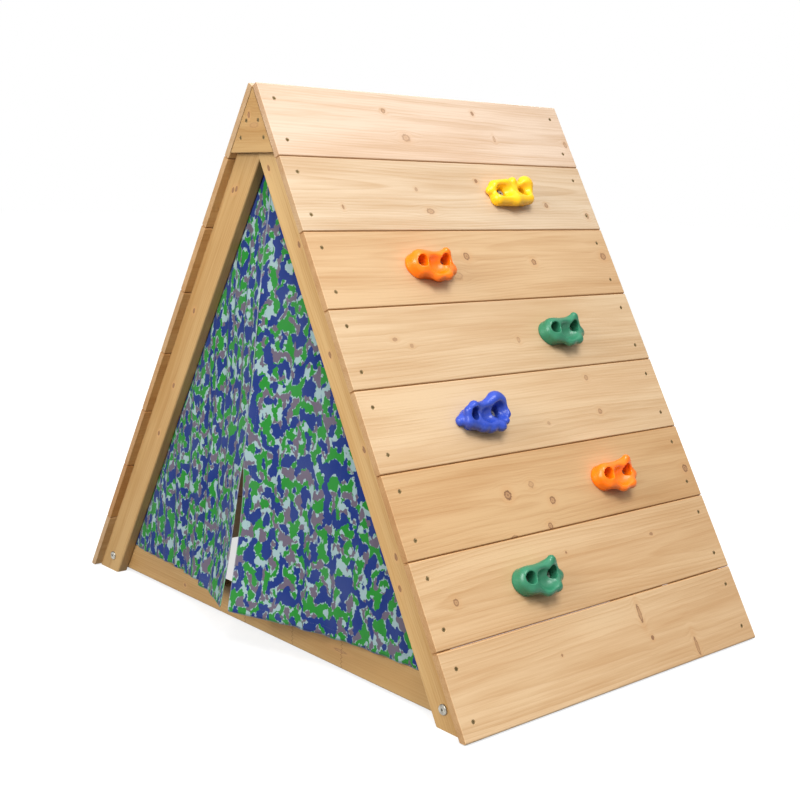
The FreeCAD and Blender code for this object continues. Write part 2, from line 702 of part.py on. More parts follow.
bolt_seat = "sizes.board_thick + sizes.socket_floor"
group("hold_washers", washer, hold_places(bolt_seat))
group("hold_bolts", hold_bolt, hold_places(f"{bolt_seat} + sizes.washer_thick"))
flip = FreeCAD.Placement(Vector(0, 0, 0), Rotation(Vector(1, 0, 0), 180))
group("hold_tee_nuts", tee_nut, [place.multiply(flip) for place in hold_places("0")])

apex = number(APEX)
slope_sin, slope_cos = number(f"sin({SLOPE})"), number(f"cos({SLOPE})")
inset = number("sizes.gusset_inset")
gusset_face = number("sizes.board_length / 2 - sizes.overhang + sizes.gusset_thick - sizes.screw_sink")
gusset_places = []
for end in (FRONT, BACK):
    for down in (number("sizes.gusset_first"), number("sizes.gusset_second")):
        for way in (-1, 1):
            x = way * (down * slope_cos - inset * slope_sin)
            z = apex - down * slope_sin - inset * slope_cos
            gusset_places.append(facing(end, x, gusset_face, z))
group("gusset_screws", gusset_screw, gusset_places)

bolt_z = number("sizes.bolt_height")
bolt_x = (apex - bolt_z) * slope_cos / slope_sin - number("sizes.post_width") / 2 / slope_sin
post_face = number("sizes.board_length / 2 - sizes.overhang")
rail_back = number(f"{POST_BACK} - sizes.rail_thick")
corners = [(end, way * bolt_x) for end in (FRONT, BACK) for way in (-1, 1)]
group("frame_bolts", frame_bolt, [facing(end, x, post_face, bolt_z) for end, x in corners])
group("frame_sleeve_nuts", sleeve_nut, [facing(end, x, rail_back, bolt_z, False) for end, x in corners])

tack_seat = number(f"{POST_BACK} - sizes.margin_thick")
tack_out = number("sizes.post_width - sizes.margin_inset - sizes.margin_width / 2")
tack_places = []
for end in (FRONT, BACK):
    for side in (CLIMBING, PLAIN):
        for step in range(TACKS):
            down = number(f"sizes.tack_first + {step} * sizes.tack_pitch")
            x = side * (down * slope_cos - tack_out * slope_sin)
            z = apex - down * slope_sin - tack_out * slope_cos
            tack_places.append(facing(end, x, tack_seat, z, False))
group("curtain_tacks", tack, tack_places)


# ---- check, then write ----

doc.recompute()
broken = [item for item in doc.Objects if "Invalid" in item.State or "Error" in item.State]
for item in broken:
    owners = [parent.Label for parent in item.InList if parent.TypeId == "PartDesign::Body"]
    print(f"{item.Label} in {owners} did not build: {item.State}")
if broken:
    raise RuntimeError("some features did not build")
os.makedirs("parts", exist_ok=True)
for piece in kept:
    if piece.Shape.isNull() or not piece.Shape.isValid():
        raise RuntimeError(f"{piece.Label} has no valid solid")
    piece.Shape.exportStep(f"parts/{piece.Label}.step")
    print(f"{piece.Label}: {len(piece.Shape.Solids)} solid(s), {piece.Shape.Volume / 1000:.1f} cm3")
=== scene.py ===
import math

import bpy
import numpy as np
import openvdb
from mathutils import Matrix, Vector


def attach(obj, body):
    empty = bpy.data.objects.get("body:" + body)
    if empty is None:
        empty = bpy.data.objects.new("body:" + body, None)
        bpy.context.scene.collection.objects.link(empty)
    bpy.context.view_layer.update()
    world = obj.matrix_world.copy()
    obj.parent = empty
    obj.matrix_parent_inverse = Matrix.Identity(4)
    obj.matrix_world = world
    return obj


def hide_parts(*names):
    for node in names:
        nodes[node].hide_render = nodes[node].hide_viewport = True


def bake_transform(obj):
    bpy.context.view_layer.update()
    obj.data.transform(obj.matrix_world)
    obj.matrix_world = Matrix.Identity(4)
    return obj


# The looks of a child's A-frame climbing den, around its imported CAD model. Metres, +Z up.
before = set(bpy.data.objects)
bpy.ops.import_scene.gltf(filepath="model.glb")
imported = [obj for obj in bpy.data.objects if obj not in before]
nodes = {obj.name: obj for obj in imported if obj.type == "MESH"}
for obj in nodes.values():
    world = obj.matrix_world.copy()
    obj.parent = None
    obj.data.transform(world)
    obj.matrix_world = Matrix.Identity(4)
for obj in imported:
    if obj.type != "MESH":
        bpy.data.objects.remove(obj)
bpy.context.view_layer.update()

# ---- the den's own dimensions ----

SLOPE = math.radians(61.0)
COS, SIN = math.cos(SLOPE), math.sin(SLOPE)
APEX = 1.0102            # where the two walls' inner faces meet
BOARD_PITCH = 0.145
BOARD_THICK = 0.013
BOARDS = 8
POST_WIDTH = 0.062
POST_BACK = 0.355        # posts' inner faces, along Y
HEM = 0.068              # floor to the curtains' hem
HINGE_DEPTH = 0.065      # curtain's swing line, in from the wall's inner face
HINGE_ALONG = 0.358      # the same, along Y
AJAR = math.radians(12.0)
FRONT, BACK = -1, 1
PLAIN, CLIMBING = -1, 1
SIDE_NAMES = {PLAIN: "plain_side", CLIMBING: "climbing_side"}
END_NAMES = {FRONT: "front", BACK: "back"}


def on_wall(side, down, along, out):
    """Row-frame point of a wall: down the slope, along the ridge and out of its inner face."""
    return Vector((side * (down * COS + out * SIN), along, APEX - down * SIN + out * COS))


# ---- node graphs ----

class Graph:
    """A material's node tree, built from the shader back."""

    def __init__(self, name):
        self.material = bpy.data.materials.new(name)
        self.material.use_nodes = True
        self.tree = self.material.node_tree
        self.tree.nodes.clear()
        output = self.node("ShaderNodeOutputMaterial")
        self.shader = self.node("ShaderNodeBsdfPrincipled")
        self.link(self.shader.outputs[0], output.inputs["Surface"])

    def node(self, kind, **settings):
        made = self.tree.nodes.new(kind)
        for name, value in settings.items():
            setattr(made, name, value)
        return made

    def link(self, source, target):
        """Joins a socket, or sets a plain value."""
        if isinstance(source, bpy.types.NodeSocket):
            self.tree.links.new(source, target)
        else:
            target.default_value = source

    def set(self, **values):
        """Inputs of the shader, by name with _ for spaces."""
        for name, value in values.items():
            self.link(value, self.shader.inputs[name.replace("_", " ")])

    def math(self, operation, *values, clamp=False):
        made = self.node("ShaderNodeMath", operation=operation, use_clamp=clamp)
        for value, socket in zip(values, made.inputs):
            self.link(value, socket)
        return made.outputs[0]

    def vector(self, operation, *values):
        made = self.node("ShaderNodeVectorMath", operation=operation)
        for value, socket in zip(values, made.inputs):
            self.link(value, socket)
        return made.outputs["Value" if operation in ("LENGTH", "DOT_PRODUCT", "DISTANCE") else "Vector"]

    def scaled(self, vector, scale):
        return self.vector("MULTIPLY", vector, scale)

    def parts(self, vector):
        made = self.node("ShaderNodeSeparateXYZ")
        self.link(vector, made.inputs[0])
        return made.outputs[0], made.outputs[1], made.outputs[2]

    def joined(self, x, y, z):
        made = self.node("ShaderNodeCombineXYZ")
        for value, socket in zip((x, y, z), made.inputs):
            self.link(value, socket)
        return made.outputs[0]

    def noise(self, vector, scale, detail=2.0, roughness=0.5, distortion=0.0):
        made = self.node("ShaderNodeTexNoise")
        made.inputs["Scale"].default_value = scale
        made.inputs["Detail"].default_value = detail
        made.inputs["Roughness"].default_value = roughness
        made.inputs["Distortion"].default_value = distortion
        self.link(vector, made.inputs["Vector"])
        return made.outputs["Fac"]

    def span(self, value, low, high, out_low=0.0, out_high=1.0, smooth=False):
        """value from low..high to out_low..out_high, clamped."""
        made = self.node("ShaderNodeMapRange")
        if smooth:
            made.interpolation_type = "SMOOTHSTEP"
        for socket, given in zip(made.inputs, (value, low, high, out_low, out_high)):
            self.link(given, socket)
        return made.outputs[0]

    def mix(self, share, first, second, blend="MIX"):
        made = self.node("ShaderNodeMix", data_type="RGBA", blend_type=blend)
        self.link(share, made.inputs[0])
        self.link(first, made.inputs[6])
        self.link(second, made.inputs[7])
        return made.outputs[2]

    def bump(self, height, distance, strength=1.0, normal=None):
        made = self.node("ShaderNodeBump")
        made.inputs["Strength"].default_value = strength
        made.inputs["Distance"].default_value = distance
        self.link(height, made.inputs["Height"])
        if normal is not None:
            self.link(normal, made.inputs["Normal"])
        return made.outputs[0]

    def object_point(self):
        return self.node("ShaderNodeTexCoord").outputs["Object"]


def colour(red, green, blue):
    """Linear colour from the usual 0-255 screen values."""
    def linear(value):
        share = value / 255
        return share / 12.92 if share <= 0.04045 else ((share + 0.055) / 1.055) ** 2.4
    return (linear(red), linear(green), linear(blue), 1.0)


# ---- wood ----

SAWN_END = (0.61, 0.50, 0.36, 1.0)        # what sawn ends do to a tone, then painted shade for inner faces and seam grooves
INNER_FACE_SHADE = (0.80, 0.66, 0.42, 1.0)
SEAM_GROOVE_SHADE = (0.70, 0.50, 0.28, 1.0)
KNOT_HALO, KNOT_CORE, KNOT_RIM = colour(196, 146, 96), colour(164, 122, 84), colour(104, 70, 48)
GLUE_LINE = colour(96, 62, 34)
PIN_KNOT = 0.0047                         # knots up to this radius are dark all through


def wood(name, grain, across, origin, pale, deep, seed, knots=(), ring_pitch=0.0048, joints=(),
         inside=None, seams=()):
    """Softwood whose rings run along grain. Knots are (along, across, radius) from the origin.

    inside is the way the face inside the den looks, and seams are the sides (-1 or 1) with a neighbour; both
    get painted shade.
    """
    g = Graph(name)
    grain, across = Vector(grain).normalized(), Vector(across).normalized()
    through = grain.cross(across)
    turn = Matrix((grain, across, through))
    mapping = g.node("ShaderNodeMapping")
    mapping.inputs["Rotation"].default_value = turn.to_euler()
    mapping.inputs["Location"].default_value = -(turn @ Vector(origin))
    g.link(g.object_point(), mapping.inputs["Vector"])
    local = mapping.outputs[0]
    along, side, deep_in = g.parts(local)
    shift = (seed * 1.37 % 9, seed * 2.11 % 7, seed * 3.7 % 5)
    moved = g.vector("ADD", local, shift)

    # knots push the rings aside and show as brown eyes with a dark rim
    pushed, core, rim, halo = side, 0.0, 0.0, 0.0
    for index, (at, over, radius, stretch, strength) in enumerate(knots):
        offset = g.scaled(g.vector("SUBTRACT", g.joined(along, side, 0.0), (at, over, 0.0)),
                          (stretch / radius, 1.0 / (radius * stretch), 0.0))
        wobble = g.noise(g.vector("ADD", local, (index * 0.7, 0.0, seed)), 260, 2.0)
        wobble = g.math("MULTIPLY", g.math("SUBTRACT", wobble, 0.5), 0.8)
        far = g.math("ADD", g.vector("LENGTH", offset), wobble)
        swell = g.math("EXPONENT", g.math("MULTIPLY", g.math("MULTIPLY", far, far), -0.14))
        way = g.span(g.math("SUBTRACT", side, over), -radius, radius, -1.0, 1.0)
        push = g.math("MULTIPLY", swell, g.math("MULTIPLY", way, radius * 1.5))
        pushed = g.math("SUBTRACT", pushed, push)
        core = g.math("MAXIMUM", g.span(far, 0.75, 1.05, strength, 0.0, smooth=True), core)
        edge = g.math("ABSOLUTE", g.math("SUBTRACT", far, 0.82))
        rim = g.math("MAXIMUM", g.span(edge, 0.0, 0.34, strength, 0.0, smooth=True), rim)
        heart = (0.0, 0.30) if radius > PIN_KNOT else (0.6, 1.0)
        rim = g.math("MAXIMUM", g.span(far, *heart, strength * 0.7, 0.0), rim)
        halo = g.math("MAXIMUM", g.span(far, 0.9, 2.8, strength, 0.0, smooth=True), halo)

    # growth rings round a pith that lies below the piece and wanders a little
    wander = g.noise(g.scaled(moved, (1.3, 0.6, 0.6)), 1.0, 1.0)
    fine_wander = g.noise(g.scaled(moved, (5.0, 16.0, 16.0)), 1.0, 2.0)
    pith_side = (seed * 0.618 % 1 - 0.5) * 0.10
    pith_below = 0.030 + 0.045 * (seed * 0.754877 % 1)
    tilt = (seed * 0.4142 % 1 - 0.5) * 0.045
    ring_side = g.math("ADD", g.math("SUBTRACT", pushed, pith_side),
                       g.math("ADD", g.math("MULTIPLY", g.math("SUBTRACT", wander, 0.5), 0.05),
                              g.math("MULTIPLY", g.math("SUBTRACT", fine_wander, 0.5), 0.007)))
    ring_below = g.math("ADD", g.math("ADD", deep_in, pith_below), g.math("MULTIPLY", along, tilt))
    radius = g.math("SQRT", g.math("ADD", g.math("MULTIPLY", ring_side, ring_side),
                                   g.math("MULTIPLY", ring_below, ring_below)))
    phase = g.math("DIVIDE", radius, ring_pitch)
    year = g.noise(g.joined(g.math("FLOOR", phase), float(seed), 0.0), 3.1, 0.0)
    saw = g.math("FRACT", phase)
    late = g.math("MULTIPLY", g.math("POWER", saw, 1.8), g.span(saw, 0.86, 1.0, 1.0, 0.0, smooth=True))
    ring = g.math("MULTIPLY", late, g.span(year, 0.3, 0.7, 0.35, 1.0))

    fibres = g.noise(g.scaled(moved, (9.0, 900.0, 900.0)), 1.0, 3.0, 0.6)
    streaks = g.noise(g.scaled(moved, (2.0, 44.0, 44.0)), 1.0, 4.0, 0.66)
    clouds = g.noise(g.scaled(moved, (2.4, 9.0, 9.0)), 1.0, 2.0)

    share = g.math("ADD", g.math("MULTIPLY", ring, 0.55),
                   g.math("ADD", g.math("MULTIPLY", g.math("SUBTRACT", streaks, 0.48), 2.1),
                          g.math("MULTIPLY", g.math("SUBTRACT", fibres, 0.5), 1.1)))
    share = g.math("ADD", share, g.math("MULTIPLY", g.math("SUBTRACT", clouds, 0.36), 1.5), clamp=True)
    tone = g.mix(share, pale, deep)
    warm = g.mix(g.span(clouds, 0.35, 0.7, 0.0, 0.30), tone,
                 g.mix(0.5, pale, (pale[0], pale[1] * 0.84, pale[2] * 0.72, 1.0)))
    if knots:
        warm = g.mix(g.math("MULTIPLY", halo, 0.40), warm, KNOT_HALO)
        warm = g.mix(g.math("MULTIPLY", core, 0.80), warm, KNOT_CORE)
        warm = g.mix(g.math("MULTIPLY", rim, 0.85), warm, KNOT_RIM)

    # sawn ends drink more finish, so they are darker and speckled
    geometry = g.node("ShaderNodeNewGeometry")
    facing = g.math("ABSOLUTE", g.vector("DOT_PRODUCT", geometry.outputs["Normal"], tuple(grain)))
    end_grain = g.span(facing, 0.45, 0.8, 0.0, 1.0, smooth=True)
    pores = g.noise(g.scaled(moved, (300.0, 700.0, 700.0)), 1.0, 1.0)
    warm = g.mix(g.math("MULTIPLY", end_grain, g.span(pores, 0.3, 0.7, 0.75, 0.95)), warm,
                 g.mix(1.0, warm, SAWN_END, "MULTIPLY"))

    # painted shade darkens the faces inside the den and the eased edges in the grooves along a seam
    if inside is not None:
        facing_in = g.vector("DOT_PRODUCT", geometry.outputs["Normal"], tuple(inside))
        warm = g.mix(g.span(facing_in, 0.6, 0.9), warm, g.mix(1.0, warm, INNER_FACE_SHADE, "MULTIPLY"))
    # painted shade in the groove between boards, on the eased edges along a seam
    for way in seams:
        near = g.span(g.math("MULTIPLY", side, way), 0.0699, 0.0716, 0.0, 0.8)
        warm = g.mix(near, warm, g.mix(1.0, warm, SEAM_GROOVE_SHADE, "MULTIPLY"))

    # finger joints across a made-up length
    for at in joints:
        fingers = g.math("MULTIPLY", g.math("PINGPONG", side, 0.004), 1.2)
        line = g.math("ABSOLUTE", g.math("SUBTRACT", g.math("ADD", along, fingers), at))
        warm = g.mix(g.span(line, 0.0004, 0.0013, 0.62, 0.0), warm, GLUE_LINE)
        warm = g.mix(g.span(g.math("SUBTRACT", along, at), 0.0, 0.001, 0.0, 0.16), warm,
                     (pale[0] * 0.8, pale[1] * 0.74, pale[2] * 0.66, 1.0))

    height = g.math("ADD", g.math("MULTIPLY", ring, 0.5), g.math("MULTIPLY", fibres, 0.6))
    if knots:
        height = g.math("SUBTRACT", height, g.math("MULTIPLY", core, 0.8))
    g.set(Base_Color=warm, Roughness=g.span(share, 0.0, 1.0, 0.62, 0.5),
          Normal=g.bump(height, 0.00035, 0.55), Specular_IOR_Level=0.32)
    return g.material


BOARD_TONES = [    # each board's mean tone, ridge to floor
    colour(209, 185, 162), colour(203, 180, 151), colour(198, 165, 125), colour(201, 173, 137),
    colour(204, 175, 138), colour(195, 159, 115), colour(202, 169, 128), colour(204, 172, 132)]
FRAME_PALE, FRAME_DEEP = colour(192, 157, 105), colour(165, 123, 67)

# Knots of each climbing board: along the ridge and down from the board's own middle, radius, how far
# it is drawn out across the grain, and how dark it is. These places, the posts', rails' and gussets',
# and the wood tones above were worked out by other scripts, not chosen by hand.
KNOTS = {
    1: [
        (-0.114, -0.032, 0.005, 1.0, 0.6), (0.13, -0.041, 0.0045, 1.1, 0.7),
        (-0.078, 0.024, 0.009, 0.9, 0.4), (0.168, 0.015, 0.005, 1.5, 0.4),
        (0.385, 0.019, 0.006, 1.2, 0.5)],
    2: [
        (0.071, -0.033, 0.004, 1.0, 0.8), (-0.08, 0.033, 0.0075, 0.8, 0.5),
        (-0.098, -0.012, 0.004, 1.0, 0.4), (-0.29, 0.026, 0.0035, 1.3, 0.6),
        (0.252, 0.018, 0.005, 1.0, 0.7), (0.369, 0.041, 0.006, 1.2, 0.6)],
    3: [
        (-0.027, -0.019, 0.0076, 1.0, 0.75), (0.153, -0.003, 0.0064, 1.0, 0.85),
        (0.371, -0.011, 0.008, 1.0, 0.75), (-0.067, 0.02, 0.01, 0.8, 0.28)],
    4: [
        (-0.271, -0.011, 0.0046, 0.8, 0.45), (-0.237, 0.003, 0.004, 1.0, 0.35),
        (0.033, 0.009, 0.005, 1.2, 0.4)],
    5: [
        (0.182, -0.048, 0.0055, 1.0, 0.5), (0.187, 0.021, 0.0055, 1.0, 0.6),
        (0.035, 0.029, 0.004, 1.0, 0.3)],
    6: [
        (-0.13, -0.001, 0.0088, 1.0, 0.95), (-0.065, -0.012, 0.0065, 1.0, 0.4),
        (-0.025, 0.023, 0.0072, 1.0, 0.8), (0.376, 0.015, 0.0078, 1.0, 0.9),
        (-0.052, 0.066, 0.006, 1.0, 0.85), (-0.147, 0.072, 0.006, 0.7, 0.6)],
    7: [
        (-0.324, 0.006, 0.006, 1.0, 0.7), (0.204, -0.023, 0.004, 0.8, 0.6),
        (-0.037, -0.028, 0.0024, 1.0, 0.7)],
    8: [
        (0.095, -0.037, 0.009, 2.0, 0.75), (0.106, 0.009, 0.004, 1.0, 0.9),
        (0.218, 0.048, 0.0085, 2.1, 0.65), (-0.131, -0.011, 0.0024, 1.0, 0.7)],
}


DEEPER = (0.80, 0.68, 0.54, 1.0)          # a board's deep tone, against its mean one
CLIMBING_SPOTS = [
    (-0.441, -0.012), (-0.284, 0.004), (-0.083, -0.005), (0.090, 0.005), (0.272, 0.001), (0.321, -0.013)]
PLAIN_SPOTS = [(-0.390, 0.002), (-0.383, 0.010), (0.168, -0.012), (0.05, -0.008), (-0.12, 0.006)]
POST_DOWN, POST_ALONG = 0.58, 0.367       # middles of the posts, rails and gussets
RAIL_ALONG, RAIL_UP = 0.3425, 0.036
GUSSET_ALONG, GUSSET_UP = 0.387, 0.93


def paint(node, material):
    """Gives a CAD node its finish."""
    for slot in nodes[node].material_slots:
        slot.material = material


def varied(tone, amount):
    """A tone made a little lighter or darker."""
    return (tone[0] * (1 + amount), tone[1] * (1 + amount * 1.15), tone[2] * (1 + amount * 1.35), 1.0)


for side in (CLIMBING, PLAIN):
    wall = "climbing" if side == CLIMBING else "plain"
    for index in range(BOARDS):
        number = index + 1
        middle = on_wall(side, (index + 0.5) * BOARD_PITCH, 0.0, BOARD_THICK / 2)
        seed = number * 3 + (1 if side == CLIMBING else 40)
        tone = BOARD_TONES[index] if side == CLIMBING else BOARD_TONES[1 + index * 3 % 7]
        knots = KNOTS[number] if side == CLIMBING else [
            (0.3 * math.sin(seed * 1.9), 0.04 * math.sin(seed * 5.3), 0.005 + 0.002 * (seed % 3), 1.0, 0.8),
            (0.33 * math.cos(seed * 2.7), 0.045 * math.cos(seed * 4.1), 0.0045, 1.5, 0.6)]
        paint(f"{wall}_board_{number}", wood(
            f"board_wood_{wall}_{number}", (0, 1, 0), (side * COS, 0, -SIN), middle,
            varied(tone, 0.055), tuple(a * b for a, b in zip(tone, DEEPER)), seed, knots,
            inside=(-side * SIN, 0, -COS), seams=[way for way in (-1, 1) if 0 <= index + way < BOARDS]))

for end in (FRONT, BACK):
    for side in (CLIMBING, PLAIN):
        seed = 70 + 3 * end + side
        spots = PLAIN_SPOTS if side == PLAIN else CLIMBING_SPOTS
        darker = -0.13 if side == PLAIN else 0.0
        paint(f"{END_NAMES[end]}_post_{SIDE_NAMES[side]}", wood(
            f"post_wood_{END_NAMES[end]}_{SIDE_NAMES[side]}", (side * COS, 0, -SIN), (side * SIN, 0, COS),
            on_wall(side, POST_DOWN, end * POST_ALONG, -POST_WIDTH / 2),
            varied(FRAME_PALE, darker), varied(FRAME_DEEP, darker), seed,
            [(along, across, 0.0044, 0.75, 0.9) for along, across in spots], 0.0034))
    paint(f"{END_NAMES[end]}_bottom_rail", wood(
        f"rail_wood_{END_NAMES[end]}", (1, 0, 0), (0, 0, 1), (0, end * RAIL_ALONG, RAIL_UP),
        varied(FRAME_PALE, -0.12), varied(FRAME_DEEP, -0.14), 90 + end,
        [(-0.261, -0.009, 0.0036, 1.0, 0.8), (0.228, 0.002, 0.007, 0.4, 0.8)], 0.0036,
        joints=(-0.050, 0.096, 0.234)))
    paint(f"{END_NAMES[end]}_gusset", wood(
        f"gusset_wood_{END_NAMES[end]}", (1, 0, 0), (0, 0, 1), (0, end * GUSSET_ALONG, GUSSET_UP),
        varied(FRAME_PALE, -0.20), varied(FRAME_DEEP, -0.20), 97 + end,
        [(-0.010, 0.030, 0.0045, 1.3, 0.8), (0.006, 0.012, 0.008, 0.6, 0.3)], 0.004))


# ---- metal ----

def metal(name, tint, low, high):
    """Plated steel: fine brushed scratches and dull, darker patches."""
    g = Graph(name)
    point = g.object_point()
    scratches = g.noise(g.scaled(point, (900.0, 900.0, 2600.0)), 1.0, 2.0)
    patches = g.noise(point, 160.0, 3.0)
    tone = g.mix(g.span(patches, 0.35, 0.7), tint, (tint[0] * 0.55, tint[1] * 0.52, tint[2] * 0.48, 1.0))
    g.set(Base_Color=tone, Metallic=1.0, Roughness=g.span(patches, 0.3, 0.7, low, high),
          Normal=g.bump(scratches, 0.00008, 0.5))
    return g.material


screw_steel = metal("screw_steel", colour(168, 146, 104), 0.36, 0.58)
zinc_steel = metal("zinc_steel", colour(186, 184, 176), 0.24, 0.46)
for name in ("climbing_wall_screws", "plain_wall_screws", "gusset_screws"):
    paint(name, screw_steel)
for name in ("frame_bolts", "frame_sleeve_nuts", "hold_bolts", "hold_washers", "hold_tee_nuts",
             "curtain_tacks"):
    paint(name, zinc_steel)


# ---- climbing holds ----

def plastic(name, tone):
    """Moulded hold plastic: grained by the mould, glossier where hands and feet rub it."""
    g = Graph(name)
    point = g.object_point()
    grain = g.noise(point, 1500.0, 2.0)
    dimples = g.noise(point, 210.0, 3.0, 0.6)
    flow = g.noise(point, 26.0, 3.0, 0.55, 0.6)
    deep = (tone[0] * 0.86, tone[1] * 0.82, tone[2] * 0.84, 1.0)
    light = (min(tone[0] * 1.1, 1.0), min(tone[1] * 1.12, 1.0), min(tone[2] * 1.12, 1.0), 1.0)
    mottled = g.mix(g.span(dimples, 0.3, 0.7, 0.0, 0.45), tone, deep)
    shade = g.mix(g.span(flow, 0.35, 0.7, 0.0, 0.5), mottled, light)
    height = g.math("ADD", g.math("MULTIPLY", grain, 0.35), dimples)
    g.set(Base_Color=shade, Roughness=g.span(flow, 0.3, 0.7, 0.24, 0.40), Normal=g.bump(height, 0.0004, 0.5),
          Specular_IOR_Level=0.42)
    return g.material


def reach(points):
    return np.sqrt((points * points).sum(-1))


def ball(points, centre, radii):
    """Distance to an ellipsoid, near enough."""
    q = (points - np.float32(centre)) / np.float32(radii)
    size = reach(q)
    return size * (size - 1) / np.maximum(reach(q / np.float32(radii)), 1e-6)


def bar(points, start, stop, first, last):
    """Distance to a rounded bar whose radius runs from first to last."""
    start, stop = np.float32(start), np.float32(stop)
    axis = stop - start
    share = np.clip((points - start) @ axis / (axis @ axis), 0, 1)
    return reach(points - start - share[:, None] * axis) - (first + (last - first) * share)


def block(points, centre, half, rounding):
    """Distance to a box with rounded edges."""
    q = np.abs(points - np.float32(centre)) - (np.float32(half) - rounding)
    return reach(np.maximum(q, 0)) + np.minimum(q.max(-1), 0) - rounding


def join(a, b, soft):
    share = np.clip(0.5 + 0.5 * (b - a) / soft, 0, 1)
    return b + (a - b) * share - soft * share * (1 - share)


def carve(a, b, soft):
    return -join(-a, b, soft)


SHAPES = {"ball": ball, "bar": bar, "block": block}

# Holds in millimetres: x along the ridge, y up the slope, z off the wall. Each row is a shape, what
# it does and how softly it blends.
SKULL = [
    ("bar", "join", 8, (-27, 0, 3), (-26, 0, 12), 21, 20),
    ("bar", "join", 14, (26, -3, -4), (24, 0, 13), 25, 17),
    ("block", "join", 12, (0, -3, 8), (32, 22, 19), 10),
    ("bar", "join", 8, (-30, 11, 19), (18, 10, 20), 9, 9),
    ("bar", "join", 8, (22, 7, 20), (32, 20, 29), 11, 7),
    ("bar", "join", 7, (37, 15, 26), (44, -8, 18), 6, 6),
    ("bar", "join", 7, (37, 10, 13), (42, -8, 11), 8, 8),
    ("bar", "join", 7, (-24, -14, 19), (4, -27, 23), 9, 9),
    ("bar", "join", 7, (4, -27, 23), (26, -26, 25), 9, 8),
    ("bar", "join", 7, (26, -26, 25), (38, -15, 21), 8, 7),
    ("ball", "join", 9, (50, -9, 14), (10, 11, 9)),
    ("ball", "carve", 4, (4, -9, 46), (25, 23, 29)),
]
LOOP = [
    ("block", "join", 10, (2, -3, 9), (42, 19, 16), 12),
    ("bar", "join", 6, (-44, -3, 5), (-34, 1, 9), 10, 12),
    ("bar", "join", 7, (-39, -9, 20), (-38, 8, 25), 8, 7),
    ("bar", "join", 7, (-38, 8, 25), (-26, 15, 28), 7, 7),
    ("bar", "join", 7, (-26, 15, 28), (-8, 14, 21), 7, 8),
    ("bar", "join", 9, (4, 12, 20), (26, 22, 28), 10, 11),
    ("ball", "join", 9, (34, 22, 26), (15, 14, 12)),
    ("ball", "join", 8, (42, 18, 24), (11, 12, 11)),
    ("bar", "join", 8, (44, 16, 25), (49, 0, 24), 8, 7),
    ("bar", "join", 8, (46, 4, 14), (42, -14, 14), 8, 8),
    ("bar", "join", 8, (-34, -13, 17), (-8, -21, 17), 8, 9),
    ("bar", "join", 8, (-8, -21, 17), (28, -24, 22), 9, 9),
    ("ball", "join", 6, (51, -8, 23), (7, 7, 8)),
    ("ball", "join", 6, (43, -19, 22), (7, 7, 9)),
    ("ball", "join", 6, (30, -29, 22), (8, 7, 9)),
    ("ball", "join", 6, (8, -29, 17), (8, 6, 9)),
    ("ball", "carve", 5, (4, -5, 44), (20, 17, 27)),
    ("ball", "carve", 5, (31, -1, 40), (18, 15, 25)),
]
PEBBLE = [
    ("block", "join", 10, (-1, 1, 8), (49, 23, 17), 14),
    ("ball", "join", 6, (-51, 9, 8), (8, 8, 8)),
    ("bar", "join", 8, (-42, 18, 14), (-12, 20, 20), 9, 8),
    ("ball", "join", 6, (8, 23, 19), (9, 9, 10)),
    ("ball", "join", 8, (44, 20, 20), (17, 15, 13)),
    ("bar", "join", 8, (53, 14, 16), (46, -9, 15), 9, 9),
    ("bar", "join", 9, (-38, -11, 13), (0, -17, 20), 10, 10),
    ("bar", "join", 9, (0, -17, 20), (40, -14, 18), 10, 10),
    ("ball", "carve", 6, (-27, 2, 34), (23, 15, 24)),
    ("ball", "carve", 5, (28, 4, 38), (19, 13, 23)),
    ("ball", "carve", 5, (24, 27, 36), (5, 10, 13)),
]

HOLDS = [    # node, board, column, shape list, turn of the shape about its own axis, colour
    ("yellow_hold_board_2", 2, 1, PEBBLE, 0, colour(255, 193, 16)),
    ("orange_hold_board_3", 3, -1, SKULL, -6, colour(255, 119, 0)),
    ("green_hold_board_4", 4, 1, SKULL, 0, colour(46, 119, 87)),
    ("blue_hold_board_5", 5, -1, LOOP, 0, colour(43, 71, 172)),
    ("orange_hold_board_6", 6, 1, SKULL, 2, colour(255, 119, 0)),
    ("green_hold_board_7", 7, -1, SKULL, 3, colour(46, 119, 87)),
]
HOLD_ACROSS = 0.142      # the holds' two columns
BOLT_SPREAD = 28.0       # bolts each side of a hold's middle, mm
SOCKET = 10.8            # bolt socket radius, mm
SOCKET_FLOOR = 5.0       # plastic under a bolt head, mm
STEP = 1.25              # sampling of a hold's solid, mm


